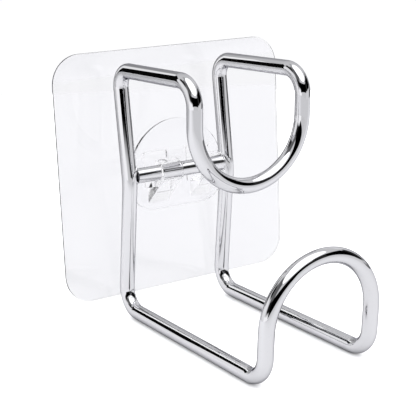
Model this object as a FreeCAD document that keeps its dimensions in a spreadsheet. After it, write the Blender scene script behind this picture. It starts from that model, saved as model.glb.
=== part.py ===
"""Wall holder for a hair dryer: a bent-wire frame in a clear, self-adhesive clip plate.

The wall is the plane Y = 0 and the holder stands out towards -Y. +X is to the right of a
person who faces the wall and +Z is up. The origin is the middle of the adhesive's back face.
Lengths are millimetres and angles are degrees.
"""
import FreeCAD, Part
import Sketcher
import math
import os
from FreeCAD import Placement, Rotation, Vector

DIMENSIONS = [
    ("sheet_width", 109.0, "adhesive sheet, side to side"),
    ("sheet_height", 100.0, "adhesive sheet, bottom to top"),
    ("sheet_corner", 12.0, "radius of the sheet's four corners"),
    ("adhesive_thickness", 0.4, "layer of adhesive on the wall"),
    ("film_thickness", 0.8, "clear film that carries the clip plate"),
    ("plate_thickness", 2.0, "clip plate behind its hooks"),
    ("plate_radius", 23.1, "round upper outline of the clip plate"),
    ("plate_drop", 3.4, "bar's axis down to the middle of the round outline"),
    ("plate_foot", 17.1, "bar's axis down to the plate's straight bottom edge"),
    ("plate_corner", 11.0, "radius of the plate's two bottom corners"),
    ("plate_edge", 0.6, "rounding of the plate's front edge"),
    ("wire_radius", 3.0, "steel rod of the loop and the bar"),
    ("bar_out", 11.2, "wall to the bar's axis"),
    ("bar_up", 0.5, "middle of the sheet up to the bar's axis"),
    ("hook_bore", 3.08, "radius inside a hook, a running fit on the bar"),
    ("hook_wall", 2.0, "thickness of a hook round the bar"),
    ("hook_width", 9.6, "hook along the bar"),
    ("hook_offset", 10.4, "middle of the plate to the middle of a hook"),
    ("hook_root_top", 7.5, "bar's axis down to the top of a hook's root on the plate"),
    ("hook_root_foot", 14.0, "bar's axis down to the bottom of a hook's root"),
    ("hook_chin", 238.0, "angle at which the root leaves the hook's outer face"),
    ("mouth_upper", 70.0, "upper edge of a hook's mouth, from the wall side upwards"),
    ("mouth_lower", -30.0, "lower edge of a hook's mouth, from the wall side upwards"),
    ("window_width", 11.2, "window in the plate behind each hook"),
    ("window_top", 7.0, "bar's axis up to the window's top edge"),
    ("side_gap", 0.3, "hook to weld bead when the frame is slid home to its side"),
    ("bead_length", 0.45, "weld bead along the bar before it meets the upright"),
    ("bead_height", 0.9, "weld bead's crest above the bar's surface"),
    ("bead_fit", 0.03, "weld bead's bore clear of the bar"),
    ("bar_end_gap", 0.05, "bar's flat end to the upright"),
    ("upright_x", 23.75, "middle of the frame to each upright"),
    ("cradle_radius", 24.9, "half width of the front cradle, its rod's centre line"),
    ("cradle_straight", 16.4, "straight drop of the cradle above its round part"),
    ("rest_radius", 24.4, "half width of the rear rest, its rod's centre line"),
    ("rest_straight", 18.4, "straight rise of the rest below its round part"),
    ("rest_lean", 2.5, "rest leans away from the wall at its top"),
    ("top_corner_back", 6.1, "bar to the top corner, towards the wall"),
    ("top_corner_up", 42.3, "bar up to the top corner"),
    ("waist_back", -0.4, "bar to the upright's slight bend, towards the wall"),
    ("waist_up", -3.0, "bar up to the upright's slight bend"),
    ("bottom_corner_back", 3.9, "bar to the bottom corner, towards the wall"),
    ("bottom_corner_up", -55.4, "bar up to the bottom corner"),
    ("arm_reach", 47.5, "bar out to the top arm's front corner"),
    ("arm_up", 44.7, "bar up to the top arm's front corner"),
    ("foot_reach", 89.3, "bar out to the bottom arm's front corner"),
    ("foot_up", -55.7, "bar up to the bottom arm's front corner"),
    ("top_bend", 6.8, "bend radius of the rod at the top corner"),
    ("waist_bend", 29.0, "bend radius of the upright's slight bend"),
    ("bottom_bend", 8.7, "bend radius at the bottom corner"),
    ("arm_bend", 9.0, "bend radius where the top arm turns down into the cradle"),
    ("foot_bend", 9.5, "bend radius where the bottom arm turns up into the rest"),
    ("droop", 4.26, "frame tips forward in its hooks until its bottom bends meet the film"),
]

doc = FreeCAD.newDocument("DryerHolder")
sheet = doc.addObject("Spreadsheet::Sheet", "Dimensions")
for row, (alias, number, meaning) in enumerate(DIMENSIONS, start=1):
    sheet.set(f"A{row}", alias)
    sheet.set(f"B{row}", str(number))
    sheet.set(f"C{row}", meaning)
    sheet.setAlias(f"B{row}", alias)
doc.recompute()


def value(alias):
    """Number in the spreadsheet's cell of that name."""
    return float(sheet.get(alias))


def cell(formula):
    """Formula with every spreadsheet name made into a reference to its cell."""
    words = formula.split(" ")
    names = {alias for alias, number, meaning in DIMENSIONS}
    return " ".join("Dimensions." + word if word in names else word for word in words)


def bind(thing, **properties):
    """Tie properties of an object to formulas in the spreadsheet's names."""
    for name, formula in properties.items():
        thing.setExpression(name.replace("__", "."), cell(formula))


def new_body(label):
    """Empty PartDesign body."""
    body = doc.addObject("PartDesign::Body", label)
    body.Label = label
    return body


def origin_plane(body, role):
    """One of a body's own origin planes, such as XZ_Plane."""
    return next(plane for plane in body.Origin.OriginFeatures if plane.Role == role)


def new_sketch(body, name, role):
    """Sketch on one of the body's origin planes."""
    sketch = body.newObject("Sketcher::SketchObject", name)
    sketch.AttachmentSupport = [(origin_plane(body, role), "")]
    sketch.MapMode = "FlatFace"
    return sketch


def draw_rectangle(sketch, left, right, bottom, top):
    """Upright rectangle whose four sides are set by formulas for their coordinates."""
    corners = [Vector(-1, -1, 0), Vector(1, -1, 0), Vector(1, 1, 0), Vector(-1, 1, 0)]
    for index, corner in enumerate(corners):
        sketch.addGeometry(Part.LineSegment(corner, corners[(index + 1) % 4]), False)
    for index in range(4):
        sketch.addConstraint(Sketcher.Constraint("Coincident", index, 2, (index + 1) % 4, 1))
    for index, direction in enumerate(("Horizontal", "Vertical", "Horizontal", "Vertical")):
        sketch.addConstraint(Sketcher.Constraint(direction, index))
    places = [("DistanceX", 0, left, -1), ("DistanceX", 2, right, 1),
              ("DistanceY", 0, bottom, -1), ("DistanceY", 2, top, 1)]
    for kind, side, formula, start in places:
        number = sketch.addConstraint(Sketcher.Constraint(kind, -1, 1, side, 1, float(start)))
        sketch.setExpression(f"Constraints[{number}]", cell(formula))


def pad(body, sketch, name, formula):
    """Pad a sketch by a length, or half of it each way."""
    solid = body.newObject("PartDesign::Pad", name)
    solid.Profile = sketch
    bind(solid, Length=formula)
    doc.recompute()
    return solid


def round_edges(body, base, name, formula, chosen):
    """Fillet the edges of a feature that a test picks."""
    names = [f"Edge{number}" for number, edge in enumerate(base.Shape.Edges, start=1) if chosen(edge)]
    fillet = body.newObject("PartDesign::Fillet", name)
    fillet.Base = (base, names)
    bind(fillet, Radius=formula)
    doc.recompute()
    return fillet


def along_y(edge):
    """True for a straight edge that is square to the wall."""
    ends = [vertex.Point for vertex in edge.Vertexes]
    straight = edge.Curve.TypeId == "Part::GeomLine"
    return straight and abs(abs(ends[1].y - ends[0].y) - edge.Length) < 1e-6


# --- Adhesive sheet: a layer of adhesive and the clear film on it -------------------------

def make_sheet_layer(label, thickness, back):
    """Rounded rectangle of one thickness, whose back face stands a distance off the wall."""
    body = new_body(label)
    outline = new_sketch(body, label + "_outline", "XZ_Plane")
    draw_rectangle(outline, "-1 * sheet_width / 2", "sheet_width / 2",
                   "-1 * sheet_height / 2", "sheet_height / 2")
    slab = pad(body, outline, label + "_slab", thickness)
    round_edges(body, slab, label + "_corners", "sheet_corner", along_y)
    bind(body, Placement__Base__y=back)
    return body


# --- Clip plate: D-shaped plate with two snap hooks ---------------------------------------

def draw_plate_outline(sketch):
    """Circle cut off by a straight foot, drawn round the bar's axis as the origin."""
    radius = value("plate_radius")
    drop = value("plate_drop")
    foot = value("plate_foot")
    half_foot = math.sqrt(radius ** 2 - (foot - drop) ** 2)
    left_angle = math.atan2(drop - foot, -half_foot)
    right_angle = math.atan2(drop - foot, half_foot)
    circle = Part.Circle(Vector(0, -drop, 0), Vector(0, 0, 1), radius)
    sketch.addGeometry(Part.ArcOfCircle(circle, right_angle, left_angle + 2 * math.pi), False)
    sketch.addGeometry(Part.LineSegment(Vector(-half_foot, -foot, 0), Vector(half_foot, -foot, 0)), False)
    sketch.addConstraint(Sketcher.Constraint("Coincident", 0, 2, 1, 1))
    sketch.addConstraint(Sketcher.Constraint("Coincident", 1, 2, 0, 1))
    sketch.addConstraint(Sketcher.Constraint("Horizontal", 1))
    sketch.addConstraint(Sketcher.Constraint("PointOnObject", 0, 3, -2))
    sizes = [(("Radius", 0, radius), "plate_radius"),
             (("DistanceY", 0, 3, -1, 1, drop), "plate_drop"),
             (("DistanceY", 1, 1, -1, 1, foot), "plate_foot")]
    for constraint, formula in sizes:
        number = sketch.addConstraint(Sketcher.Constraint(*constraint))
        sketch.setExpression(f"Constraints[{number}]", cell(formula))


def hook_section():
    """Face of one hook seen along the bar: a ring with a mouth, on a root that slopes to the plate."""
    inner = value("hook_bore")
    outer = inner + value("hook_wall")
    plate_face = value("bar_out") - value("adhesive_thickness") - value("film_thickness") \
        - value("plate_thickness")

    def on_ring(radius, degrees):
        angle = math.radians(degrees)
        return Vector(0, radius * math.cos(angle), radius * math.sin(angle))

    upper = value("mouth_upper")
    lower = value("mouth_lower") + 360
    chin = value("hook_chin")
    root_top = Vector(0, plate_face, -value("hook_root_top"))
    root_foot = Vector(0, plate_face, -value("hook_root_foot"))
    edges = [
        Part.Arc(on_ring(outer, upper), on_ring(outer, (upper + chin) / 2), on_ring(outer, chin)).toShape(),
        Part.makeLine(on_ring(outer, chin), root_foot),
        Part.makeLine(root_foot, root_top),
        Part.makeLine(root_top, on_ring(inner, lower)),
        Part.Arc(on_ring(inner, lower), on_ring(inner, (upper + lower) / 2), on_ring(inner, upper)).toShape(),
        Part.makeLine(on_ring(inner, upper), on_ring(outer, upper)),
    ]
    return Part.Face(Part.Wire(edges))


def make_clip_plate():
    """One clear moulding: the plate, a window behind each hook, and the two hooks."""
    body = new_body("clip_plate_base")
    outline = new_sketch(body, "plate_outline", "XZ_Plane")
    draw_plate_outline(outline)
    plate = pad(body, outline, "plate_slab", "plate_thickness")
    plate = round_edges(body, plate, "plate_corners", "plate_corner", along_y)

    def at_front(edge):
        return max(abs(vertex.Y + value("plate_thickness")) for vertex in edge.Vertexes) < 1e-6

    round_edges(body, plate, "plate_front_edge", "plate_edge", at_front)
    for name, side in (("left_window", -1), ("right_window", 1)):
        opening = new_sketch(body, name + "_outline", "XZ_Plane")
        draw_rectangle(opening, f"{side} * hook_offset - window_width / 2",
                       f"{side} * hook_offset + window_width / 2",
                       "-1 * hook_root_top", "window_top")
        window = body.newObject("PartDesign::Pocket", name)
        window.Profile = opening
        window.Type = "ThroughAll"
        window.Reversed = True
        doc.recompute()
    bind(body, Placement__Base__y="-1 * adhesive_thickness - film_thickness", Placement__Base__z="bar_up")

    section = doc.addObject("Part::Feature", "hook_section")
    section.Shape = hook_section()
    hooks = []
    for name, side in (("left_hook", -1), ("right_hook", 1)):
        hook = doc.addObject("Part::Extrusion", name)
        hook.Base = section
        hook.DirMode = "Custom"
        hook.Dir = Vector(1, 0, 0)
        hook.Solid = True
        hook.Symmetric = True
        bind(hook, LengthFwd="hook_width", Placement__Base__x=f"{side} * hook_offset",
             Placement__Base__y="-1 * bar_out", Placement__Base__z="bar_up")
        hooks.append(hook)
    moulding = doc.addObject("Part::MultiFuse", "clip_plate")
    moulding.Label = "clip_plate"
    moulding.Shapes = [body] + hooks
    moulding.Refine = True
    return moulding


# --- Wire frame: the crossbar in the hooks, and the closed loop welded to its ends --------

def frame_shift():
    """Sideways place of the frame: its right weld bead has come up against the right hook."""
    hook_side = value("hook_offset") + value("hook_width") / 2
    bead_side = value("upright_x") - value("wire_radius") - value("bead_length")
    return hook_side + value("side_gap") - bead_side


def place_on_bar(thing):
    """Move an object drawn round the bar's middle to the bar, and tip it forward by the droop."""
    tip = Rotation(Vector(1, 0, 0), value("droop"))
    thing.Placement = Placement(Vector(frame_shift(), -value("bar_out"), value("bar_up")), tip)


def make_crossbar():
    """Straight rod between the uprights."""
    bar = doc.addObject("Part::Cylinder", "crossbar")
    bar.Label = "crossbar"
    half = value("upright_x") - value("wire_radius") - value("bar_end_gap")
    bind(bar, Radius="wire_radius", Height="2 * ( upright_x - wire_radius - bar_end_gap )")
    along_bar = Rotation(Vector(0, 0, 1), Vector(1, 0, 0))
    bar.Placement = Placement(Vector(frame_shift() - half, -value("bar_out"), value("bar_up")), along_bar)
    return bar


def bend(before, corner, after, radius):
    """Arc of a bend at a corner between two straight runs."""
    back = (before - corner).normalize()
    ahead = (after - corner).normalize()
    half_angle = back.getAngle(ahead) / 2
    reach = radius / math.tan(half_angle)
    middle = (back + ahead).normalize()
    crown = corner + middle * (radius / math.sin(half_angle) - radius)
    return Part.Arc(corner + back * reach, crown, corner + ahead * reach)


def half_loop_edges():
    """Right half of the loop's centre line, from the cradle's lowest point to the rest's crown."""
    upright = value("upright_x")
    cradle = value("cradle_radius")
    rest = value("rest_radius")
    cos45 = math.sqrt(0.5)
    lean = math.radians(value("rest_lean"))
    rise = Vector(0, -math.sin(lean), math.cos(lean))

    arm_corner = Vector(cradle, -value("arm_reach"), value("arm_up"))
    top_corner = Vector(upright, value("top_corner_back"), value("top_corner_up"))
    waist = Vector(upright, value("waist_back"), value("waist_up"))
    bottom_corner = Vector(upright, value("bottom_corner_back"), value("bottom_corner_up"))
    foot_corner = Vector(rest, -value("foot_reach"), value("foot_up"))

    cradle_centre = Vector(0, arm_corner.y, arm_corner.z - value("cradle_straight"))
    cradle_end = cradle_centre + Vector(cradle, 0, 0)
    cradle_arc = Part.Arc(cradle_centre + Vector(0, 0, -cradle),
                          cradle_centre + Vector(cradle * cos45, 0, -cradle * cos45), cradle_end)
    rest_centre = Vector(0, foot_corner.y, foot_corner.z) + rise * value("rest_straight")
    rest_start = rest_centre + Vector(rest, 0, 0)
    rest_arc = Part.Arc(rest_start, rest_centre + (Vector(1, 0, 0) + rise) * rest * cos45,
                        rest_centre + rise * rest)

    stops = [cradle_end, arm_corner, top_corner, waist, bottom_corner, foot_corner, rest_start]
    radii = ["arm_bend", "top_bend", "waist_bend", "bottom_bend", "foot_bend"]
    edges = [cradle_arc.toShape()]
    here = cradle_end
    for index, name in enumerate(radii, start=1):
        arc = bend(stops[index - 1], stops[index], stops[index + 1], value(name))
        edges.append(Part.makeLine(here, arc.StartPoint))
        edges.append(arc.toShape())
        here = arc.EndPoint
    edges.append(Part.makeLine(here, rest_start))
    edges.append(rest_arc.toShape())
    return edges


def make_wire_loop():
    """One closed rod: cradle, top arms, uprights, bottom arms and rest, from two mirrored halves."""
    edges = half_loop_edges()
    path = doc.addObject("Part::Feature", "half_loop_path")
    path.Shape = Part.Wire(edges)
    profile = doc.addObject("Part::Circle", "rod_profile")
    bind(profile, Radius="wire_radius")
    start = edges[0].valueAt(edges[0].FirstParameter)
    profile.Placement = Placement(start, Rotation(Vector(0, 0, 1), Vector(1, 0, 0)))
    half = doc.addObject("Part::Sweep", "right_half_loop")
    half.Sections = [profile]
    half.Spine = (path, [f"Edge{number}" for number in range(1, len(edges) + 1)])
    half.Solid = True
    half.Frenet = False
    other = doc.addObject("Part::Mirroring", "left_half_loop")
    other.Source = half
    other.Normal = Vector(1, 0, 0)
    other.Base = Vector(0, 0, 0)
    loop = doc.addObject("Part::Fuse", "wire_loop")
    loop.Label = "wire_loop"
    loop.Base = half
    loop.Tool = other
    loop.Refine = True
    place_on_bar(loop)
    return loop


def bead_section(side):
    """Section of a weld bead, which rises from the bar and falls away on the upright."""
    inner = value("wire_radius") + value("bead_fit")
    crest = value("wire_radius") + value("bead_height")
    upright = value("upright_x")
    start = upright - value("wire_radius") - value("bead_length")
    crest_x = upright - value("wire_radius") + value("bead_length")
    low_start = Vector(side * start, 0, inner)
    low_end = Vector(side * upright, 0, inner)
    crown = Vector(side * crest_x, 0, crest)
    edges = [Part.Arc(low_start, crown, low_end).toShape(), Part.makeLine(low_end, low_start)]
    return Part.Face(Part.Wire(edges))


def make_weld_bead(label, side, loop):
    """Bead of weld metal round one end of the bar, cut to the upright that it holds."""
    section = doc.addObject("Part::Feature", label + "_section")
    section.Shape = bead_section(side)
    ring = doc.addObject("Part::Revolution", label + "_ring")
    ring.Source = section
    ring.Axis = Vector(1, 0, 0)
    ring.Base = Vector(0, 0, 0)
    ring.Angle = 360.0
    ring.Solid = True
    place_on_bar(ring)
    bead = doc.addObject("Part::Cut", label)
    bead.Label = label
    bead.Base = ring
    bead.Tool = loop
    return bead


adhesive = make_sheet_layer("adhesive_layer", "adhesive_thickness", "0 * adhesive_thickness")
film = make_sheet_layer("adhesive_sheet", "film_thickness", "-1 * adhesive_thickness")
clip_plate = make_clip_plate()
crossbar = make_crossbar()
wire_loop = make_wire_loop()
left_bead = make_weld_bead("left_weld_bead", -1, wire_loop)
right_bead = make_weld_bead("right_weld_bead", 1, wire_loop)
doc.recompute()

SUB_PARTS = [adhesive, film, clip_plate, crossbar, wire_loop, left_bead, right_bead]

for thing in doc.Objects:
    if "Invalid" in thing.State or "Error" in thing.State:
        raise RuntimeError(f"{thing.Name} did not compute: {thing.State}")
for sub_part in SUB_PARTS:
    if sub_part.Shape.isNull() or not sub_part.Shape.isValid():
        raise RuntimeError(f"{sub_part.Label} has no valid shape")

os.makedirs("parts", exist_ok=True)
for sub_part in SUB_PARTS:
    box = sub_part.Shape.BoundBox
    print(f"{sub_part.Label:16s} {sub_part.Shape.Volume:10.1f} mm3  {len(sub_part.Shape.Solids)} solid(s)  "
          f"X {box.XMin:.2f}..{box.XMax:.2f}  Y {box.YMin:.2f}..{box.YMax:.2f}  Z {box.ZMin:.2f}..{box.ZMax:.2f}")
    sub_part.Shape.exportStep(f"parts/{sub_part.Label}.step")
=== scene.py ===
"""Finished look of a wall holder for a hair dryer: clear sheet, clip plate, chromed frame."""
import math

import bmesh
import bpy
from mathutils import Matrix, Vector


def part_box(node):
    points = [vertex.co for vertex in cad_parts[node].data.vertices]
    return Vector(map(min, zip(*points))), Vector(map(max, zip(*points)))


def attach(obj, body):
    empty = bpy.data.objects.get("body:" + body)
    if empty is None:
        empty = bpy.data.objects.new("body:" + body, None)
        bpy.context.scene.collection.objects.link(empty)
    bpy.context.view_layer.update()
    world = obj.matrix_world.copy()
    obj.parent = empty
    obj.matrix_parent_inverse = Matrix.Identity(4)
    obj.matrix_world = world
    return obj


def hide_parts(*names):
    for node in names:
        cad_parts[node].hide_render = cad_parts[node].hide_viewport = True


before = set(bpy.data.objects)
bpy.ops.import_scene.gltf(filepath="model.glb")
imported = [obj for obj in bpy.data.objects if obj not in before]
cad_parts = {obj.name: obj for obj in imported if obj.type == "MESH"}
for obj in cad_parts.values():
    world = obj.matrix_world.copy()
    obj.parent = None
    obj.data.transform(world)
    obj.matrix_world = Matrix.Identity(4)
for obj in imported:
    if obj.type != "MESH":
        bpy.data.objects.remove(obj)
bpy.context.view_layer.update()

MM = 0.001


# --- Adhesive layer -----------------------------------------------------------------------
# A soft, clear sheet of nano-gel adhesive that is pressed on the wall. It is die-cut with the
# film in front of it and stops a hair short of the film's edge, so that no dirt sticks to it.

SHEET_CORNER = 12 * MM
GEL_INSET = 0.5 * MM
GEL_EDGE = 0.05 * MM
JOINT_GAP = 0.01 * MM     # thinnest air gap that keeps two clear pieces' faces apart
CORNER_STEPS = 24
SAME_PLACE = 0.001 * MM   # corners nearer than this are one corner
BUMP_DEPTH = 0.05 * MM


def new_piece(name, mesh, *finishes):
    """Object at the origin that carries a mesh and its materials."""
    mesh.name = name
    piece = bpy.data.objects.new(name, mesh)
    bpy.context.scene.collection.objects.link(piece)
    mesh.materials.clear()
    for finish in finishes:
        mesh.materials.append(finish)
    return piece


def arc_points(centre, radius, start, end, steps):
    """Points in a plane from one angle to another, in degrees, both ends included."""
    points = []
    for step in range(steps + 1):
        angle = math.radians(start + (end - start) * step / steps)
        points.append((centre[0] + radius * math.cos(angle), centre[1] + radius * math.sin(angle)))
    return points


def rounded_rectangle(left, right, bottom, top, radius, steps=CORNER_STEPS):
    """Outline of a rectangle with round corners, anticlockwise."""
    outline = arc_points((right - radius, bottom + radius), radius, -90, 0, steps)
    outline += arc_points((right - radius, top - radius), radius, 0, 90, steps)
    outline += arc_points((left + radius, top - radius), radius, 90, 180, steps)
    outline += arc_points((left + radius, bottom + radius), radius, 180, 270, steps)
    return outline


def finished_mesh(holder):
    """Mesh of an object as its curve or modifiers make it."""
    return bpy.data.meshes.new_from_object(
        holder.evaluated_get(bpy.context.evaluated_depsgraph_get()))


def rounded_plate(outlines, thickness, edge, steps=3):
    """Mesh of a flat outline, holes included, extruded each way along Z with rounded edges."""
    curve = bpy.data.curves.new("outline", "CURVE")
    curve.dimensions = "2D"
    curve.fill_mode = "BOTH"
    curve.extrude = thickness / 2 - edge
    curve.bevel_depth = edge
    curve.bevel_resolution = steps
    curve.offset = -edge
    for outline in outlines:
        spline = curve.splines.new("POLY")
        spline.points.add(len(outline) - 1)
        for point, (x, y) in zip(spline.points, outline):
            point.co = (x, y, 0, 1)
        spline.use_cyclic_u = True
    holder = bpy.data.objects.new("outline", curve)
    bpy.context.scene.collection.objects.link(holder)
    mesh = finished_mesh(holder)
    bpy.data.objects.remove(holder)
    closed = bmesh.new()
    closed.from_mesh(mesh)
    bmesh.ops.remove_doubles(closed, verts=closed.verts, dist=SAME_PLACE)
    bmesh.ops.recalc_face_normals(closed, faces=closed.faces)
    closed.to_mesh(mesh)
    closed.free()
    return mesh


def smooth_by_angle(mesh, degrees=35):
    """Smooth shading, with the sharp edges kept sharp."""
    mesh.shade_smooth()
    mesh.set_sharp_from_angle(angle=math.radians(degrees))


FACING_ROOM = Matrix.Rotation(math.radians(90), 4, "X")  # a drawing's Y becomes Z, its Z -Y


def sheet_piece(name, node, inset, edge, front_gap, finish):
    """One rounded layer of the adhesive sheet, sized from its CAD node."""
    low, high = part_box(node)
    outline = rounded_rectangle(low[0] + inset, high[0] - inset, low[2] + inset, high[2] - inset,
                                SHEET_CORNER - inset)
    mesh = rounded_plate([outline], high[1] - low[1] - front_gap, edge)
    middle = Matrix.Translation((0, (high[1] + low[1] + front_gap) / 2, 0))
    mesh.transform(middle @ FACING_ROOM)
    smooth_by_angle(mesh)
    return new_piece(name, mesh, finish)


def feed(tree, socket, setting):
    """Link an input to a socket, or set it to a plain value."""
    if isinstance(setting, bpy.types.NodeSocket):
        tree.links.new(setting, socket)
    else:
        socket.default_value = setting


def add_node(tree, kind, **inputs):
    """Shader node with some of its inputs set or linked."""
    made = tree.nodes.new(kind)
    for name, setting in inputs.items():
        feed(tree, made.inputs[name.replace("_", " ")], setting)
    return made


def math_node(tree, operation, *settings, clamp=False):
    """Result of a math node. With clamp it stays between 0 and 1."""
    made = tree.nodes.new("ShaderNodeMath")
    made.operation = operation
    made.use_clamp = clamp
    for socket, setting in zip(made.inputs, settings):
        feed(tree, socket, setting)
    return made.outputs["Value"]


def range_node(tree, value, low, high, start, end, smooth=False):
    """Socket that goes from start to end while value goes from low to high."""
    made = tree.nodes.new("ShaderNodeMapRange")
    if smooth:
        made.interpolation_type = "SMOOTHSTEP"
    for name, setting in (("Value", value), ("From Min", low), ("From Max", high),
                          ("To Min", start), ("To Max", end)):
        feed(tree, made.inputs[name], setting)
    return made.outputs["Result"]


def mix_node(tree, factor, first, second, colours=False, blend="MIX"):
    """Socket that goes from first to second, two numbers or two colours, with the factor."""
    made = tree.nodes.new("ShaderNodeMix")
    if colours:
        made.data_type = "RGBA"
        made.blend_type = blend
    for name, setting in (("Factor", factor), ("A", first), ("B", second)):
        feed(tree, made.inputs[name], setting)
    return made.outputs["Result"]


def shader_group(name, numbers, colours, results):
    """New node group: its tree, what it's given and what it gives, by the sockets' names."""
    tree = bpy.data.node_groups.new(name, "ShaderNodeTree")
    for settings, kind in ((numbers, "NodeSocketFloat"), (colours, "NodeSocketColor")):
        for key, start in settings.items():
            side = tree.interface.new_socket(name=key, in_out="INPUT", socket_type=kind)
            side.default_value = start
    for key, kind in results.items():
        tree.interface.new_socket(name=key, in_out="OUTPUT", socket_type=kind)
    return tree, tree.nodes.new("NodeGroupInput").outputs, tree.nodes.new("NodeGroupOutput").inputs


SURFACE_RESULTS = {"Colour": "NodeSocketColor", "Roughness": "NodeSocketFloat",
                   "Height": "NodeSocketFloat"}
CLEAR_NUMBERS = {"Wave Size": 60.0, "Haze Size": 25.0, "Rub Size": 900.0,
                 "Low Roughness": 0.02, "High Roughness": 0.08}
# The edge colour is painted shade on the cut edge; white leaves the edge undarkened.
CLEAR_COLOURS = {"Light Tint": (0.97, 0.97, 0.985, 1), "Deep Tint": (0.95, 0.95, 0.975, 1),
                 "Edge Tint": (1, 1, 1, 1)}
HAZE_RANGE = (0.35, 0.75)
RUB_SHARE = 0.03          # a rub's height, as a share of a flow wave's
EDGE_RANGE = (0.5, 0.85)  # how squarely a face looks out of the wall, from cut edge to flat side; the painted edge shade fades across it


def clear_surface_group():
    """Clear plastic's unevenness: flow waves, haze patches and fine rubs, with painted shade that
    darkens the cut edge.
    """
    tree, given, result = shader_group("clear_surface", CLEAR_NUMBERS, CLEAR_COLOURS,
                                       SURFACE_RESULTS)
    coordinates = tree.nodes.new("ShaderNodeTexCoord").outputs
    waves, haze, rubs = [
        add_node(tree, "ShaderNodeTexNoise", Vector=coordinates["Object"], Scale=given[size],
                 Detail=detail).outputs["Fac"]
        for size, detail in (("Wave Size", 1.0), ("Haze Size", 3.0), ("Rub Size", 2.0))
    ]
    facing = add_node(tree, "ShaderNodeSeparateXYZ", Vector=coordinates["Normal"]).outputs["Y"]
    flat = math_node(tree, "ABSOLUTE", facing, clamp=True)
    tint = mix_node(tree, haze, given["Light Tint"], given["Deep Tint"], colours=True)
    # Painted shade: faces that turn away from the wall, along the cut edge, take the darker edge
    # colour as an outline.
    edge = range_node(tree, flat, *EDGE_RANGE, 1.0, 0.0)
    edge_shaded = mix_node(tree, edge, tint, given["Edge Tint"], colours=True, blend="MULTIPLY")
    rough = range_node(tree, haze, *HAZE_RANGE, given["Low Roughness"], given["High Roughness"])

    tree.links.new(edge_shaded, result["Colour"])
    tree.links.new(rough, result["Roughness"])
    tree.links.new(math_node(tree, "MULTIPLY_ADD", rubs, RUB_SHARE, waves), result["Height"])
    return tree


CLEAR_SURFACE = clear_surface_group()


def coated_finish(name, coat, bump, surface):
    """Material with a surface group's colour, roughness and relief: itself, its tree and shader."""
    finish = bpy.data.materials.new(name)
    finish.use_nodes = True
    tree = finish.node_tree
    shader = tree.nodes["Principled BSDF"]
    skin = tree.nodes.new("ShaderNodeGroup")
    skin.node_tree = coat
    for key, setting in surface.items():
        skin.inputs[key.replace("_", " ")].default_value = setting
    relief = add_node(tree, "ShaderNodeBump", Height=skin.outputs["Height"], Strength=bump,
                      Distance=BUMP_DEPTH)
    tree.links.new(skin.outputs["Colour"], shader.inputs["Base Color"])
    tree.links.new(skin.outputs["Roughness"], shader.inputs["Roughness"])
    tree.links.new(relief.outputs["Normal"], shader.inputs["Normal"])
    return finish, tree, shader


def clear_finish(name, ior, bump, **surface):
    """Transparent plastic with its own tint and surface."""
    finish, tree, shader = coated_finish(name, CLEAR_SURFACE, bump, surface)
    shader.inputs["IOR"].default_value = ior
    shader.inputs["Transmission Weight"].default_value = 1.0

    # What chrome mirrors is seen straight through the plastic: a mirrored ray passes in through
    # an outer face unbent, and one that has passed in passes out again.
    rays = tree.nodes.new("ShaderNodeLightPath").outputs
    inner_face = tree.nodes.new("ShaderNodeNewGeometry").outputs["Backfacing"]
    outer_face = math_node(tree, "SUBTRACT", 1.0, inner_face, clamp=True)
    mirrored = math_node(tree, "SUBTRACT", rays["Is Glossy Ray"], rays["Is Transmission Ray"],
                         clamp=True)
    passing = math_node(tree, "ADD", outer_face, rays["Transparent Depth"], clamp=True)
    shown = tree.nodes.new("ShaderNodeMixShader")
    unbent = tree.nodes.new("ShaderNodeBsdfTransparent")
    tree.links.new(math_node(tree, "MULTIPLY", mirrored, passing, clamp=True), shown.inputs["Fac"])
    tree.links.new(shader.outputs["BSDF"], shown.inputs[1])
    tree.links.new(unbent.outputs["BSDF"], shown.inputs[2])
    tree.links.new(shown.outputs["Shader"], tree.nodes["Material Output"].inputs["Surface"])
    return finish


def clear_of_light(piece):
    """Let the studio's soft light through a clear piece, so that it darkens nothing behind it."""
    piece.visible_diffuse = False
    piece.visible_shadow = False


gel_finish = clear_finish("clear_gel", ior=1.2, bump=0.3, Wave_Size=140.0,
                          Low_Roughness=0.03, High_Roughness=0.12,
                          Light_Tint=(0.985, 0.985, 0.992, 1), Deep_Tint=(0.97, 0.97, 0.985, 1))
gel = sheet_piece("gel_layer", "adhesive_layer", GEL_INSET, GEL_EDGE, JOINT_GAP, gel_finish)
clear_of_light(gel)
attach(gel, "wall_base")
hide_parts("adhesive_layer")


# --- Film ---------------------------------------------------------------------------------
# Clear PVC film that carries the clip plate. It is die-cut to a rounded rectangle, and its
# cut edge is slightly rounded over where the die pressed it.

FILM_EDGE = 0.2 * MM

# The film's edge colour is painted shade: it darkens the cut edge into a grey outline.
film_finish = clear_finish("clear_film", ior=1.42, bump=0.2, Wave_Size=45.0,
                           Light_Tint=(0.94, 0.94, 0.938, 1), Deep_Tint=(0.92, 0.92, 0.92, 1),
                           Edge_Tint=(0.6, 0.6, 0.63, 1))
film = sheet_piece("film_sheet", "adhesive_sheet", 0.0, FILM_EDGE, 0.0, film_finish)
clear_of_light(film)
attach(film, "wall_base")
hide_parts("adhesive_sheet")


# --- Clip plate ---------------------------------------------------------------------------
# One clear moulding welded to the film: a D-shaped plate, and two snap hooks that hold the
# bar. The core pins that form the hooks' undersides leave a window in the plate behind each.

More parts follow.
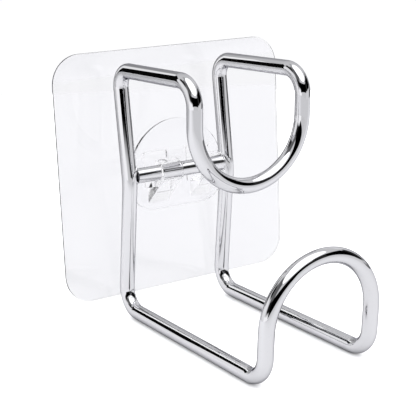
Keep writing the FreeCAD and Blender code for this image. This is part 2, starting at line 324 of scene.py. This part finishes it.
plate_low, plate_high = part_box("clip_plate")
bar_low, bar_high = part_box("crossbar")
bar_middle = (Vector(bar_low) + Vector(bar_high)) / 2
bar_y = bar_middle.y
bar_z = bar_middle.z
PLATE_RADIUS = (plate_high[0] - plate_low[0]) / 2
PLATE_DROP = bar_z + PLATE_RADIUS - plate_high[2]   # bar's axis down to the round outline's middle
PLATE_FOOT = bar_z - plate_low[2]                   # bar's axis down to the straight bottom edge
PLATE_CORNER = 11 * MM
PLATE_THICKNESS = 2 * MM
PLATE_EDGE = 0.6 * MM
WINDOW_WIDTH = 11.2 * MM
WINDOW_TOP = 7 * MM
WINDOW_FOOT = 7.5 * MM
WINDOW_CORNER = 0.7 * MM
HOOK_OFFSET = 10.4 * MM
HOOK_WIDTH = 9.6 * MM
HOOK_BORE = 3.08 * MM
HOOK_WALL = 2 * MM
HOOK_EDGE = 0.3 * MM
HOOK_ROOT_FOOT = 14 * MM
HOOK_SINK = 0.5 * MM          # how far a hook's root goes into the plate
HOOK_MOUTH = (70, 330)        # open side, in degrees from the wall side upwards
HOOK_CHIN = 238               # where the outside leaves the ring for the root
OUTER_STEPS = 40
BORE_STEPS = 60
WINDOW_STEPS = 4
PLATE_SHARP_ANGLE = 32
plate_back = plate_high[1] - JOINT_GAP
plate_face = plate_high[1] - PLATE_THICKNESS


def plate_outline():
    """D shape round the bar's axis: a circle, two tangent corner arcs and a straight foot."""
    corner_z = PLATE_CORNER - PLATE_FOOT
    reach = PLATE_RADIUS - PLATE_CORNER
    corner_x = math.sqrt(reach ** 2 - (corner_z + PLATE_DROP) ** 2)
    meet = math.degrees(math.atan2(corner_z + PLATE_DROP, corner_x))
    outline = arc_points((corner_x, corner_z), PLATE_CORNER, -90, meet, CORNER_STEPS)
    outline += arc_points((0, -PLATE_DROP), PLATE_RADIUS, meet, 180 - meet, 6 * CORNER_STEPS)[1:-1]
    outline += arc_points((-corner_x, corner_z), PLATE_CORNER, 180 - meet, 270, CORNER_STEPS)
    return outline


def hook_outline():
    """Hook seen from its right side: a ring with a mouth, on a root that slopes to the plate."""
    face = plate_face - bar_y
    root = face + HOOK_SINK
    outline = arc_points((0, 0), HOOK_BORE + HOOK_WALL, HOOK_MOUTH[0], HOOK_CHIN, OUTER_STEPS)
    outline += [(face, -HOOK_ROOT_FOOT), (root, -HOOK_ROOT_FOOT)]
    outline += [(root, -WINDOW_FOOT), (face, -WINDOW_FOOT)]
    outline += arc_points((0, 0), HOOK_BORE, HOOK_MOUTH[1], HOOK_MOUTH[0], BORE_STEPS)
    return outline


def clip_moulding(finish):
    """Plate with its windows, joined into one skin with the two hooks."""
    outlines = [plate_outline()]
    for side in (-1, 1):
        middle = side * HOOK_OFFSET
        outlines.append(rounded_rectangle(middle - WINDOW_WIDTH / 2, middle + WINDOW_WIDTH / 2,
                                          -WINDOW_FOOT, WINDOW_TOP, WINDOW_CORNER, WINDOW_STEPS))
    plate = rounded_plate(outlines, plate_back - plate_face, PLATE_EDGE)
    plate.transform(Matrix.Translation((0, (plate_back + plate_face) / 2, bar_z)) @ FACING_ROOM)
    moulding = new_piece("clip_moulding", plate)
    along_x = Matrix(((0, 0, 1, 0), (1, 0, 0, 0), (0, 1, 0, 0), (0, 0, 0, 1)))
    for side in (-1, 1):
        hook_mesh = rounded_plate([hook_outline()], HOOK_WIDTH, HOOK_EDGE)
        hook_mesh.transform(Matrix.Translation((side * HOOK_OFFSET, bar_y, bar_z)) @ along_x)
        hook = new_piece("hook", hook_mesh)
        union = moulding.modifiers.new("join_hook", "BOOLEAN")
        union.operation = "UNION"
        union.solver = "EXACT"
        union.object = hook
        joined = finished_mesh(moulding)
        moulding.modifiers.clear()
        moulding.data = joined
        bpy.data.objects.remove(hook)
    moulding.data.materials.clear()
    moulding.data.materials.append(finish)
    smooth_by_angle(moulding.data, PLATE_SHARP_ANGLE)
    return moulding


clip_finish = clear_finish("clear_moulding", ior=1.27, bump=0.35, Wave_Size=110.0, Haze_Size=60.0,
                           Light_Tint=(0.995, 0.995, 0.998, 1), Deep_Tint=(0.985, 0.985, 0.99, 1))
clip = clip_moulding(clip_finish)
clear_of_light(clip)
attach(clip, "wall_base")
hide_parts("clip_plate")


# --- Crossbar -----------------------------------------------------------------------------
# Straight length of 6 mm steel rod between the uprights, which turns and slides in the two
# hooks. It is welded in before the whole frame is polished and chromed.

ROD_RADIUS = (bar_high[2] - bar_low[2]) / 2
ROD_SIDES = 64
BEND_STEPS = 40
ROD_SHARP_ANGLE = 50
RING_GAP = 0.02 * MM      # rings of a bend nearer than this are one ring
PLATING_NUMBERS = {"Ripple Size": 90.0, "Haze Size": 40.0, "Line Size": 2500.0,
                   "Speck Size": 700.0, "Low Roughness": 0.0, "High Roughness": 0.03}
PLATING_COLOURS = {"Bright": (0.68, 0.68, 0.695, 1), "Dull": (0.58, 0.58, 0.60, 1)}
PLATING_HAZE_RANGE = (0.4, 0.8)
SPECK_RANGE = (0.06, 0.12)
LINE_SHARE = 0.02         # a polishing line's height, as a share of a ripple's
CHROME_EDGE_TINT = (0.35, 0.35, 0.37, 1)


def plating_group():
    """Bright chrome's small faults: soft ripple, fine polishing lines, haze and pinprick specks."""
    tree, given, result = shader_group("chrome_plating", PLATING_NUMBERS, PLATING_COLOURS,
                                       SURFACE_RESULTS)
    place = tree.nodes.new("ShaderNodeTexCoord").outputs["Object"]
    ripple, haze, lines = [
        add_node(tree, "ShaderNodeTexNoise", Vector=place, Scale=given[size],
                 Detail=detail).outputs["Fac"]
        for size, detail in (("Ripple Size", 1.0), ("Haze Size", 4.0), ("Line Size", 1.0))
    ]
    specks = add_node(tree, "ShaderNodeTexVoronoi", Vector=place, Scale=given["Speck Size"])
    speck_mask = range_node(tree, specks.outputs["Distance"], *SPECK_RANGE, 1.0, 0.0)
    colour = mix_node(tree, speck_mask, given["Bright"], given["Dull"], colours=True)
    rough = range_node(tree, haze, *PLATING_HAZE_RANGE, given["Low Roughness"],
                       given["High Roughness"])

    tree.links.new(colour, result["Colour"])
    tree.links.new(rough, result["Roughness"])
    tree.links.new(math_node(tree, "MULTIPLY_ADD", lines, LINE_SHARE, ripple), result["Height"])
    return tree


PLATING = plating_group()


def chrome_finish(name, bump, **surface):
    """Chrome plate with its own ripple and haze."""
    finish, tree, shader = coated_finish(name, PLATING, bump, surface)
    shader.inputs["Metallic"].default_value = 1.0
    shader.inputs["Specular Tint"].default_value = CHROME_EDGE_TINT
    return finish


def bent_rod_group():
    """Geometry node tree that bends round rod along a path of corners, each with its own bend."""
    tree = bpy.data.node_groups.new("bent_rod", "GeometryNodeTree")
    for side, kind in (("Geometry", "Geometry"), ("Rod Radius", "Float"), ("Bend Steps", "Int"),
                       ("Sides", "Int"), ("Capped", "Bool"), ("Finish", "Material")):
        tree.interface.new_socket(name=side, in_out="INPUT", socket_type="NodeSocket" + kind)
    tree.interface.new_socket(name="Geometry", in_out="OUTPUT", socket_type="NodeSocketGeometry")
    given = tree.nodes.new("NodeGroupInput").outputs
    result = tree.nodes.new("NodeGroupOutput")
    link = tree.links.new

    path = tree.nodes.new("GeometryNodeMeshToCurve")
    link(given["Geometry"], path.inputs["Mesh"])
    bend = tree.nodes.new("GeometryNodeInputNamedAttribute")
    bend.data_type = "FLOAT"
    bend.inputs["Name"].default_value = "bend"
    rounded = tree.nodes.new("GeometryNodeFilletCurve")
    rounded.mode = "POLY"
    link(path.outputs["Curve"], rounded.inputs["Curve"])
    link(bend.outputs["Attribute"], rounded.inputs["Radius"])
    link(given["Bend Steps"], rounded.inputs["Count"])
    rounded.inputs["Limit Radius"].default_value = True
    circle = tree.nodes.new("GeometryNodeCurvePrimitiveCircle")
    link(given["Rod Radius"], circle.inputs["Radius"])
    link(given["Sides"], circle.inputs["Resolution"])
    skin = tree.nodes.new("GeometryNodeCurveToMesh")
    link(rounded.outputs["Curve"], skin.inputs["Curve"])
    link(circle.outputs["Curve"], skin.inputs["Profile Curve"])
    link(given["Capped"], skin.inputs["Fill Caps"])
    merged = tree.nodes.new("GeometryNodeMergeByDistance")
    merged.inputs["Distance"].default_value = RING_GAP
    link(skin.outputs["Mesh"], merged.inputs["Geometry"])
    real = tree.nodes.new("GeometryNodeRealizeInstances")
    link(merged.outputs["Geometry"], real.inputs["Geometry"])
    coated = tree.nodes.new("GeometryNodeSetMaterial")
    link(real.outputs["Geometry"], coated.inputs["Geometry"])
    link(given["Finish"], coated.inputs["Material"])
    link(coated.outputs["Geometry"], result.inputs["Geometry"])
    return tree


BENT_ROD = bent_rod_group()


def bent_rod(name, corners, closed, finish):
    """Rod piece from its corners, each a place and a bend radius."""
    path = bpy.data.meshes.new(name + "_path")
    count = len(corners)
    edges = [(index, (index + 1) % count) for index in range(count if closed else count - 1)]
    path.from_pydata([place for place, radius in corners], edges, [])
    bends = path.attributes.new("bend", "FLOAT", "POINT")
    for index, (place, radius) in enumerate(corners):
        bends.data[index].value = radius
    holder = bpy.data.objects.new(name + "_path", path)
    bpy.context.scene.collection.objects.link(holder)
    bender = holder.modifiers.new("bend_rod", "NODES")
    bender.node_group = BENT_ROD
    settings = {"Rod Radius": ROD_RADIUS, "Bend Steps": BEND_STEPS, "Sides": ROD_SIDES,
                "Capped": not closed, "Finish": finish}
    for item in BENT_ROD.interface.items_tree:
        if item.in_out == "INPUT" and item.name in settings:
            bender[item.identifier] = settings[item.name]
    mesh = finished_mesh(holder)
    bpy.data.objects.remove(holder)
    solid = bmesh.new()
    solid.from_mesh(mesh)
    bmesh.ops.recalc_face_normals(solid, faces=solid.faces)
    if solid.calc_volume(signed=True) < 0:
        bmesh.ops.reverse_faces(solid, faces=solid.faces)
    solid.to_mesh(mesh)
    solid.free()
    smooth_by_angle(mesh, ROD_SHARP_ANGLE)
    return new_piece(name, mesh, finish)


rod_finish = chrome_finish("bright_chrome", bump=0.12, High_Roughness=0.0)
bar_ends = [(Vector((end, bar_y, bar_z)), 0.0) for end in (bar_low[0], bar_high[0])]
crossbar = bent_rod("chromed_crossbar", bar_ends, False, rod_finish)
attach(crossbar, "sliding_bar")
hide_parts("crossbar")


# --- Wire loop ----------------------------------------------------------------------------
# One closed length of 6 mm steel rod, bent on a jig: a cradle at the front of the top arms,
# two uprights behind, bottom arms and an arched rest. It tips forward a little in its hooks.

DROOP = math.radians(4.26)
UPRIGHT_X = 23.75 * MM
CRADLE_RADIUS = 24.9 * MM
CRADLE_STRAIGHT = 16.4 * MM
REST_RADIUS = 24.4 * MM
REST_STRAIGHT = 18.4 * MM
REST_LEAN = math.radians(2.5)
ARM_CORNER = (47.5 * MM, 44.7 * MM)          # out from the bar, and up from it
FOOT_CORNER = (89.3 * MM, -55.7 * MM)
TOP_CORNER = (-6.1 * MM, 42.3 * MM)
WAIST = (0.4 * MM, -3.0 * MM)
BOTTOM_CORNER = (-3.9 * MM, -55.4 * MM)
ARM_BEND = 9.0 * MM
FOOT_BEND = 9.5 * MM
TOP_BEND = 6.8 * MM
WAIST_BEND = 29 * MM
BOTTOM_BEND = 8.7 * MM

ON_BAR = Matrix.Translation(bar_middle) @ Matrix.Rotation(DROOP, 4, "X")


def loop_corners():
    """The loop's corners, right side first, from the cradle round to the rest and back."""
    cradle_up = ARM_CORNER[1] - CRADLE_STRAIGHT - CRADLE_RADIUS
    rest_rise = REST_STRAIGHT + REST_RADIUS
    rest_out = FOOT_CORNER[0] + rest_rise * math.sin(REST_LEAN)
    rest_up = FOOT_CORNER[1] + rest_rise * math.cos(REST_LEAN)
    right = [
        (CRADLE_RADIUS, ARM_CORNER[0], cradle_up, CRADLE_RADIUS),
        (CRADLE_RADIUS, ARM_CORNER[0], ARM_CORNER[1], ARM_BEND),
        (UPRIGHT_X, TOP_CORNER[0], TOP_CORNER[1], TOP_BEND),
        (UPRIGHT_X, WAIST[0], WAIST[1], WAIST_BEND),
        (UPRIGHT_X, BOTTOM_CORNER[0], BOTTOM_CORNER[1], BOTTOM_BEND),
        (REST_RADIUS, FOOT_CORNER[0], FOOT_CORNER[1], FOOT_BEND),
        (REST_RADIUS, rest_out, rest_up, REST_RADIUS),
    ]
    left = [(-x, out, up, bend) for x, out, up, bend in reversed(right)]
    return [(ON_BAR @ Vector((x, -out, up)), bend) for x, out, up, bend in right + left]


loop = bent_rod("chromed_loop", loop_corners(), True, rod_finish)
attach(loop, "loop_frame")
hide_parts("wire_loop")


# --- Weld beads ---------------------------------------------------------------------------
# A small fillet of weld metal runs round each end of the bar where it meets the upright. It
# is ground back by hand and plated with the rest, so it is smooth but not quite even.

BEAD_LEG = 1.1 * MM
BEAD_STEPS = 96
BEAD_PROFILE = 8
BEAD_FIT = 0.02 * MM
BEAD_SINK = 0.4 * MM                      # how far the bead goes into the upright
BEAD_SIDE_SHARE = 0.25                    # leg at the bar's front and back, against top and foot
BEAD_WAVES = ((5, 0.08), (11, 0.05))      # unevenness: waves round the bar, share of the leg
WIDEST_SHARE = 0.999                      # of the upright's radius, where its side turns away


def weld_bead_mesh(side):
    """Fillet between the bar and an upright: its legs follow the line where the two rods meet."""
    bead = bmesh.new()
    rings = []
    for step in range(BEAD_STEPS):
        turn = 2 * math.pi * step / BEAD_STEPS
        out, up = math.cos(turn), math.sin(turn)
        (slow, slow_share), (fast, fast_share) = BEAD_WAVES
        uneven = 1 + slow_share * math.sin(slow * turn + side) + fast_share * math.sin(fast * turn)
        leg = BEAD_LEG * (BEAD_SIDE_SHARE + (1 - BEAD_SIDE_SHARE) * up * up) * uneven
        ring = []
        for index in range(BEAD_PROFILE + 1):
            share = index / BEAD_PROFILE
            rise = leg * (1 - math.cos(share * math.pi / 2))
            away = leg * (1 - math.sin(share * math.pi / 2))
            radius = ROD_RADIUS + BEAD_FIT + rise
            across = min(abs(radius * out), ROD_RADIUS * WIDEST_SHARE)
            saddle = UPRIGHT_X - math.sqrt(ROD_RADIUS ** 2 - across ** 2)
            ring.append(bead.verts.new((side * (saddle - away), radius * out, radius * up)))
        last = ring[-1].co
        sunk = side * (abs(last.x) + BEAD_SINK)
        inner = ROD_RADIUS + BEAD_FIT
        ring.append(bead.verts.new((sunk, last.y, last.z)))
        ring.append(bead.verts.new((sunk, inner * out, inner * up)))
        rings.append(ring)
    for first, second in zip(rings, rings[1:] + rings[:1]):
        count = len(first)
        for index in range(count):
            corner = (index + 1) % count
            bead.faces.new((first[index], first[corner], second[corner], second[index]))
    bmesh.ops.recalc_face_normals(bead, faces=bead.faces)
    mesh = bpy.data.meshes.new("bead")
    bead.to_mesh(mesh)
    bead.free()
    mesh.transform(ON_BAR)
    smooth_by_angle(mesh, ROD_SHARP_ANGLE)
    return mesh


weld_finish = chrome_finish("chromed_weld", bump=0.5, Ripple_Size=700.0,
                            Low_Roughness=0.06, High_Roughness=0.16)
for bead_name, bead_node, bead_side in (("left_bead", "left_weld_bead", -1),
                                        ("right_bead", "right_weld_bead", 1)):
    bead_piece = new_piece(bead_name, weld_bead_mesh(bead_side), weld_finish)
    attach(bead_piece, "loop_frame")
    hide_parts(bead_node)


# --- Studio -------------------------------------------------------------------------------
# The holder lies on a white table, on its bottom arms, so the table and the camera are set
# out square to the wire frame and tipped with it. Soft light comes from all round.

TABLE_DROP = 58.75 * MM          # bar's axis down to the table, along the frame's own upright
TABLE_RADIUS = 0.55
TABLE_MIDDLE = (0.0, -0.05)
TABLE_STEPS = 180
TABLE_WHITE = (0.98, 0.98, 0.98, 1)
TABLE_ROUGHNESS = 0.6
TABLE_LIGHT = 2.0
TABLE_BEHIND_PLASTIC = 1.12      # painted brightness of the table seen through the clear pieces
TABLE_SHADING_DEPTH = 0.35       # half of the depth over which the painted shade and light on the mirrored table change
TABLE_SHADING = ((0.0, 0.9), (0.36, 1.3), (0.58, 1.3), (0.85, 0.7))  # place, brightness: painted shade and light that chrome mirrors
COOL_TOUCH = 1.01


def table_grey(level):
    """Table colour that shows at this brightness under the studio's light."""
    return (level / TABLE_LIGHT, level / TABLE_LIGHT, COOL_TOUCH * level / TABLE_LIGHT, 1)


def make_table():
    """Round, white, matt table top; chrome mirrors painted shade and light on it, and plastic shows
    it at a painted brightness.
    """
    rim = arc_points(TABLE_MIDDLE, TABLE_RADIUS, 0, 360, TABLE_STEPS)[:-1]
    mesh = bpy.data.meshes.new("table")
    mesh.from_pydata([(x, y, 0) for x, y in rim], [], [tuple(range(len(rim)))])
    mesh.transform(ON_BAR @ Matrix.Translation((0, 0, -TABLE_DROP)))
    paint = bpy.data.materials.new("white_table")
    paint.use_nodes = True
    tree = paint.node_tree
    shader = tree.nodes["Principled BSDF"]
    rays = tree.nodes.new("ShaderNodeLightPath").outputs
    place = tree.nodes.new("ShaderNodeTexCoord").outputs["Object"]
    towards_wall = add_node(tree, "ShaderNodeSeparateXYZ", Vector=place).outputs["Y"]
    depth = range_node(tree, towards_wall, -TABLE_SHADING_DEPTH, TABLE_SHADING_DEPTH, 0.0, 1.0)
    # Painted shade and light on the table, seen only in chrome: darker on the camera side and
    # behind the wall, brighter round the holder.
    mirrored = add_node(tree, "ShaderNodeValToRGB", Fac=depth)
    stops = mirrored.color_ramp.elements
    for index, (position, level) in enumerate(TABLE_SHADING):
        stop = stops[index] if index < len(stops) else stops.new(position)
        stop.position = position
        stop.color = table_grey(level)
    glossy = mix_node(tree, rays["Is Glossy Ray"], TABLE_WHITE, mirrored.outputs["Color"],
                      colours=True)
    # Painted brightness for the table seen through the clear pieces.
    shade = mix_node(tree, rays["Is Transmission Ray"], glossy, table_grey(TABLE_BEHIND_PLASTIC),
                     colours=True)
    tree.links.new(shade, shader.inputs["Base Color"])
    shader.inputs["Roughness"].default_value = TABLE_ROUGHNESS
    shader.inputs["Specular IOR Level"].default_value = 0.0
    return new_piece("table", mesh, paint)


make_table()


CARD_NUMBERS = {"Bearing": 0.0, "Dip": 0.0, "Half Width": 0.0, "Half Height": 0.0,
                "Soft Edge": 0.0}


def studio_card_group():
    """Mask of a soft-edged card in the studio, from its direction and half sizes in radians."""
    tree, given, result = shader_group("studio_card", CARD_NUMBERS, {},
                                       {"Mask": "NodeSocketFloat"})
    looking = tree.nodes.new("ShaderNodeTexCoord").outputs["Generated"]
    for axis, angle in (("X_AXIS", -DROOP), ("Z_AXIS", given["Bearing"]),
                        ("X_AXIS", given["Dip"])):
        turned = tree.nodes.new("ShaderNodeVectorRotate")
        turned.rotation_type = axis
        feed(tree, turned.inputs["Vector"], looking)
        feed(tree, turned.inputs["Angle"], angle)
        looking = turned.outputs["Vector"]
    parts = add_node(tree, "ShaderNodeSeparateXYZ", Vector=looking).outputs
    across = math_node(tree, "ABSOLUTE", math_node(tree, "ARCTAN2", parts["X"], parts["Y"]))
    along = math_node(tree, "ABSOLUTE", math_node(tree, "ARCSINE", parts["Z"]))
    masks = []
    for distance, half in ((across, given["Half Width"]), (along, given["Half Height"])):
        inner = math_node(tree, "SUBTRACT", half, given["Soft Edge"])
        outer = math_node(tree, "ADD", half, given["Soft Edge"])
        masks.append(range_node(tree, distance, inner, outer, 1.0, 0.0, smooth=True))
    tree.links.new(math_node(tree, "MULTIPLY", *masks), result["Mask"])
    return tree


# Each card: bearing from the wall side towards the right, height, half width, half height and
# soft edge, all in degrees, then its brightness. Later cards hang in front of earlier ones.
STUDIO_CARDS = [
    ("left_low_wall", -98, -5, 32, 8, 1.5, 1.3),
    ("right_low_wall", 138, -6, 28, 8, 1.5, 0.9),
    ("right_low_flag", 88, -7, 22, 7, 2, 0.22),
    ("left_wall", -52, 8, 24, 14, 3, 1.1),
    ("right_wall", 57, 24, 16, 14, 3, 1.15),
    ("dim_ceiling", -40, 66, 12, 5, 2, 0.45),
    ("back_wall", 0, 14, 20, 20, 3, 0.55),
    ("left_grey_flag", -72, 42, 12, 15, 3, 0.2),
    ("left_flag", -102, 36, 17, 26, 2, 0.15),
    ("low_left_flag", -108, 15, 17, 8.5, 2, 0.01),
    ("back_left_flag", -58, 34, 12, 8, 2, 0.01),
    ("right_flag", 100, 18, 16, 13, 2, 0.03),
    ("high_right_flag", 128, 21, 24, 15, 1.5, 0.0),
    ("front_right_flag", 156, 16, 14, 13, 1.5, 0.03),
    ("camera_flag", -159, 15, 40, 14, 1, 0.0),
]
SOFTBOX = (180, 72, 36, 1.0, 2.0)  # bearing, height, radius and soft edge in degrees; brightness
ROOM_GREY = 0.8
BACKDROP_LIGHT = 1.03
STUDIO_WHITE = (0.985, 0.985, 1.0, 1)
CARD_GROUP = studio_card_group()


def make_studio_light():
    """Even white light, with cards and a softbox that only the chrome and the gloss mirror."""
    world = bpy.data.worlds.new("white_studio")
    bpy.context.scene.world = world
    world.use_nodes = True
    tree = world.node_tree
    level = ROOM_GREY
    for name, bearing, height, half_width, half_height, soft, brightness in STUDIO_CARDS:
        card = tree.nodes.new("ShaderNodeGroup")
        card.node_tree = CARD_GROUP
        card.name = name
        for key, degrees in (("Bearing", bearing), ("Dip", -height), ("Half Width", half_width),
                             ("Half Height", half_height), ("Soft Edge", soft)):
            card.inputs[key].default_value = math.radians(degrees)
        level = mix_node(tree, card.outputs["Mask"], level, brightness)

    bearing, height, radius, soft, brightness = SOFTBOX
    turned = Matrix.Rotation(math.radians(-bearing), 3, "Z")
    raised = Matrix.Rotation(math.radians(height), 3, "X")
    facing = tree.nodes.new("ShaderNodeVectorMath")
    facing.operation = "DOT_PRODUCT"
    feed(tree, facing.inputs[0], tree.nodes.new("ShaderNodeTexCoord").outputs["Generated"])
    feed(tree, facing.inputs[1], ON_BAR.to_3x3() @ (turned @ raised @ Vector((0, 1, 0))))
    disc = range_node(tree, facing.outputs["Value"], math.cos(math.radians(radius + soft)),
                      math.cos(math.radians(radius - soft)), 0.0, 1.0, smooth=True)
    level = mix_node(tree, disc, level, brightness)

    rays = tree.nodes.new("ShaderNodeLightPath").outputs
    mirrored = math_node(tree, "SUBTRACT", rays["Is Glossy Ray"], rays["Is Transmission Ray"],
                         clamp=True)
    bright = mix_node(tree, rays["Is Diffuse Ray"], BACKDROP_LIGHT, TABLE_LIGHT)
    glow = tree.nodes["Background"]
    glow.inputs["Color"].default_value = STUDIO_WHITE
    tree.links.new(mix_node(tree, mirrored, bright, level), glow.inputs["Strength"])


# Each near card: its left, right, bottom and top edges in metres, then its brightness.
NEAR_CARDS = [
    ("near_black_flag", -0.275, -0.135, 0.012, 0.215, 0.003),
    ("near_white_card", -0.134, -0.070, 0.025, 0.175, 1.3),
]
NEAR_BEARING = math.radians(15)
NEAR_DISTANCE = 0.15


def hang_near_card(name, left, right, bottom, top, brightness):
    """Card close behind the frame, which only mirroring surfaces see."""
    mesh = bpy.data.meshes.new(name)
    corners = [(left, bottom), (right, bottom), (right, top), (left, top)]
    mesh.from_pydata([(x, NEAR_DISTANCE, z) for x, z in corners], [], [(0, 1, 2, 3)])
    mesh.transform(ON_BAR @ Matrix.Rotation(-NEAR_BEARING, 4, "Z"))
    paint = bpy.data.materials.new(name)
    paint.use_nodes = True
    tree = paint.node_tree
    tree.nodes.remove(tree.nodes["Principled BSDF"])
    lamp = add_node(tree, "ShaderNodeEmission", Strength=brightness)
    tree.links.new(lamp.outputs["Emission"], tree.nodes["Material Output"].inputs["Surface"])
    card = new_piece(name, mesh, paint)
    card.visible_camera = False
    card.visible_diffuse = False
    card.visible_transmission = False
    card.visible_shadow = False


for near_card in NEAR_CARDS:
    hang_near_card(*near_card)
make_studio_light()
bpy.context.scene.view_settings.view_transform = "Standard"

CAMERA_PLACE = Vector((-0.26683, -0.39871, 0.11911))     # from the bar, square to the frame
CAMERA_TURN = math.radians(-35.2)
CAMERA_DIP = math.radians(15.79)
camera_data = bpy.data.cameras.new("camera")
camera_data.lens = 104.86
camera_data.sensor_width = 36.0
camera_data.clip_start = 0.01
camera = bpy.data.objects.new("camera", camera_data)
bpy.context.scene.collection.objects.link(camera)
aim = Matrix.Rotation(CAMERA_TURN, 4, "Z") @ Matrix.Rotation(math.radians(90) - CAMERA_DIP, 4, "X")
camera.matrix_world = ON_BAR @ Matrix.Translation(CAMERA_PLACE) @ aim
bpy.context.scene.camera = camera
